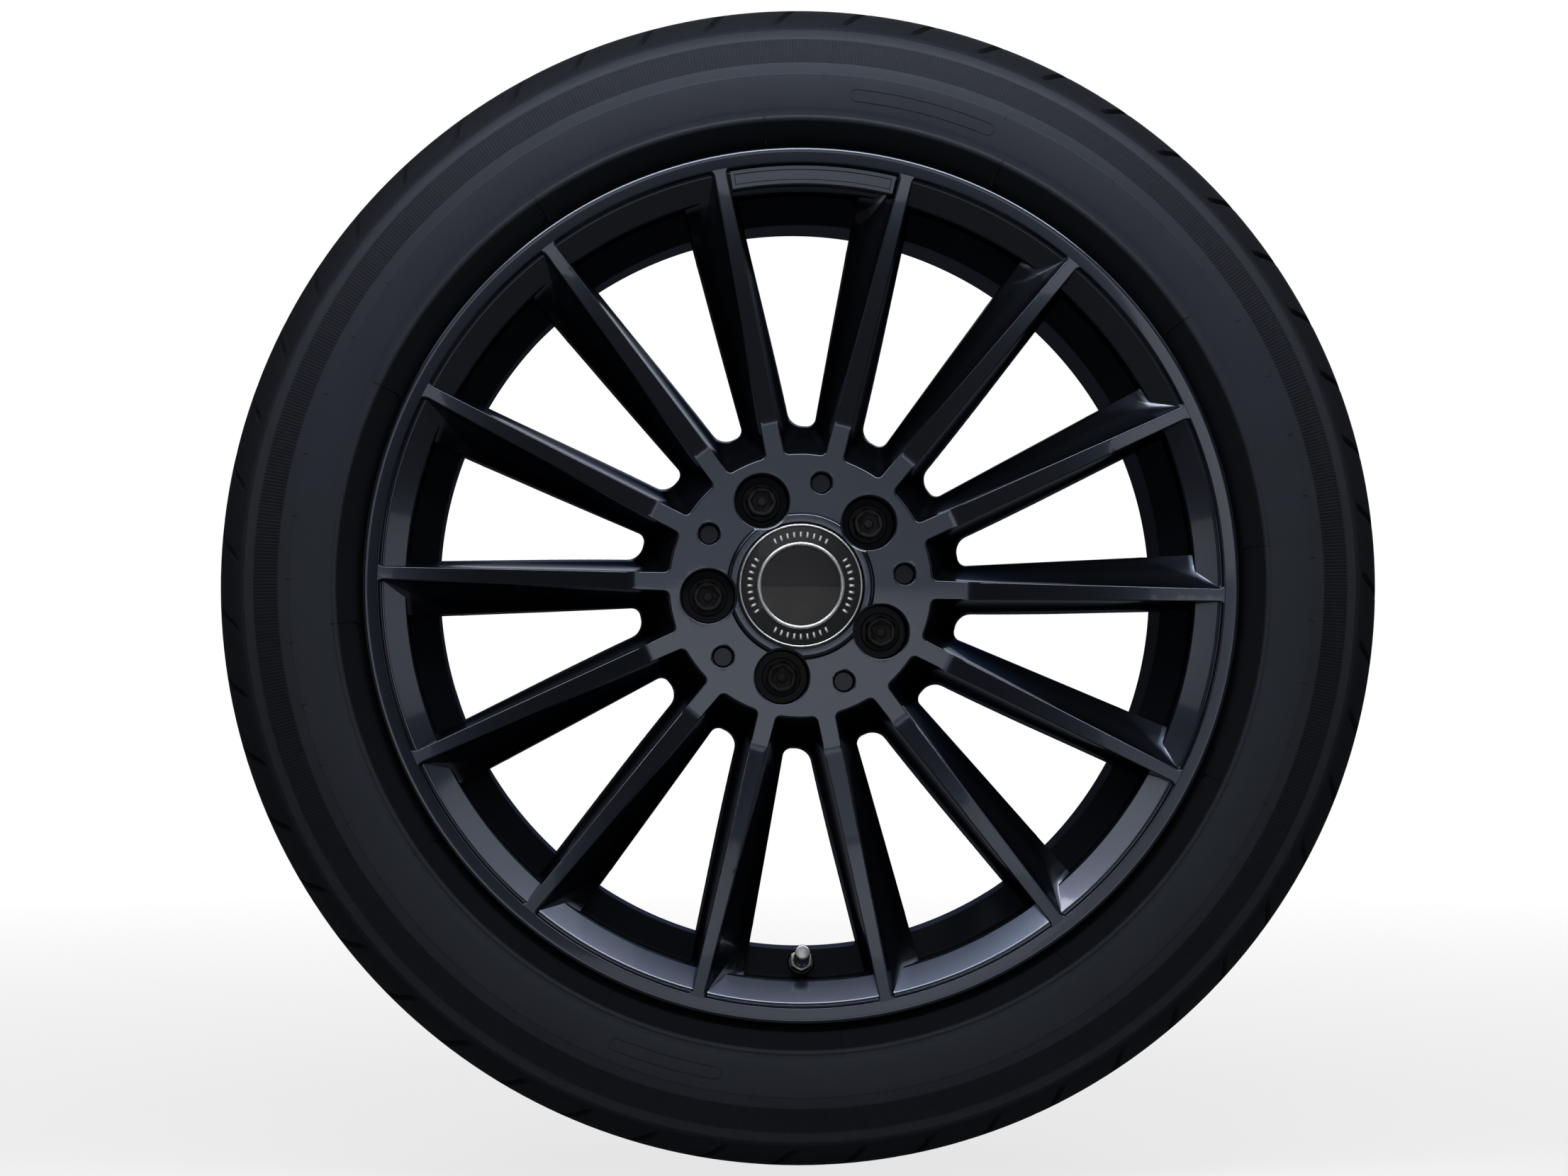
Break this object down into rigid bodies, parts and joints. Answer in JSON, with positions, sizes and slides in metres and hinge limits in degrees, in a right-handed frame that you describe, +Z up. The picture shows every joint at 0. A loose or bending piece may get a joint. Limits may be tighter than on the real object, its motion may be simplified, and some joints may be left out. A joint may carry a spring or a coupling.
{
  "type": "car wheel",
  "caption": "Alloy car wheel with slender asymmetric spokes, low-profile tyre, sunk bolts, round centre cap and metal valve.",
  "frame": {"origin": "centre of the wheel: on the axle, in the middle of the rim's width", "axes": "+Y along the axle towards the car, so the outer face looks towards -Y; +Z up, with the valve at the bottom; +X to the right as seen from outside"},
  "size_m": [0.7025, 0.245, 0.7026],
  "materials": {
    "rim_paint": "gloss",
    "tyre_rubber": "satin",
    "bolt_black": "satin",
    "cap_moulding": "gloss",
    "badge_gloss": "gloss",
    "ring_chrome": "gloss",
    "spring_steel": "satin",
    "valve_metal": "satin",
    "seal_rubber": "matt",
    "washer_black": "satin",
    "nut_metal": "satin",
    "core_brass": "satin",
    "cap_metal": "satin",
    "sensor_plastic": "matt",
    "tape_foam": "matt",
    "weight_metal": "satin"
  },
  "bodies": {
    "wheel": {"rim": "rim_paint", "tyre": "tyre_rubber", "wheel_bolt_1": "bolt_black", "wheel_bolt_2": "bolt_black", "wheel_bolt_3": "bolt_black", "wheel_bolt_4": "bolt_black", "wheel_bolt_5": "bolt_black", "cap_body": "cap_moulding", "cap_badge": "badge_gloss", "cap_outer_ring": "ring_chrome", "cap_inner_ring": "ring_chrome", "cap_spring_ring": "spring_steel", "valve_stem": "valve_metal", "valve_grommet": "seal_rubber", "valve_washer": "washer_black", "valve_nut": "nut_metal", "valve_core": "core_brass", "valve_core_spring": "spring_steel", "pressure_sensor": "sensor_plastic", "sensor_screw": "spring_steel", "weight_tape": "tape_foam", "balance_weights": "weight_metal"},
    "pin": {"valve_pin": "core_brass"},
    "seal": {"valve_cap_seal": "seal_rubber"},
    "dust_cap": {"valve_cap": "cap_metal"}
  },
  "joints": [
    {"name": "valve_pin_press", "type": "slide", "parent": "wheel", "child": "pin", "axis": [0, 0.9613, -0.2756], "range_m": [0, 0.0012], "stiffness_N_per_m": 400, "springref_m": -0.0005},
    {"name": "valve_cap_lift", "type": "slide", "parent": "wheel", "child": "seal", "axis": [0, -0.9613, 0.2756], "range_m": [0, 0.0055]},
    {"name": "valve_cap_turn", "type": "hinge", "parent": "seal", "child": "dust_cap", "pos_m": [0, -0.09474, -0.22049], "axis": [0, -0.9613, 0.2756], "range_deg": [0, 2500]}
  ],
  "couplings": [
    {"joint": "valve_cap_turn", "follows": "valve_cap_lift", "rad_per_m": 7913.3}
  ]
}
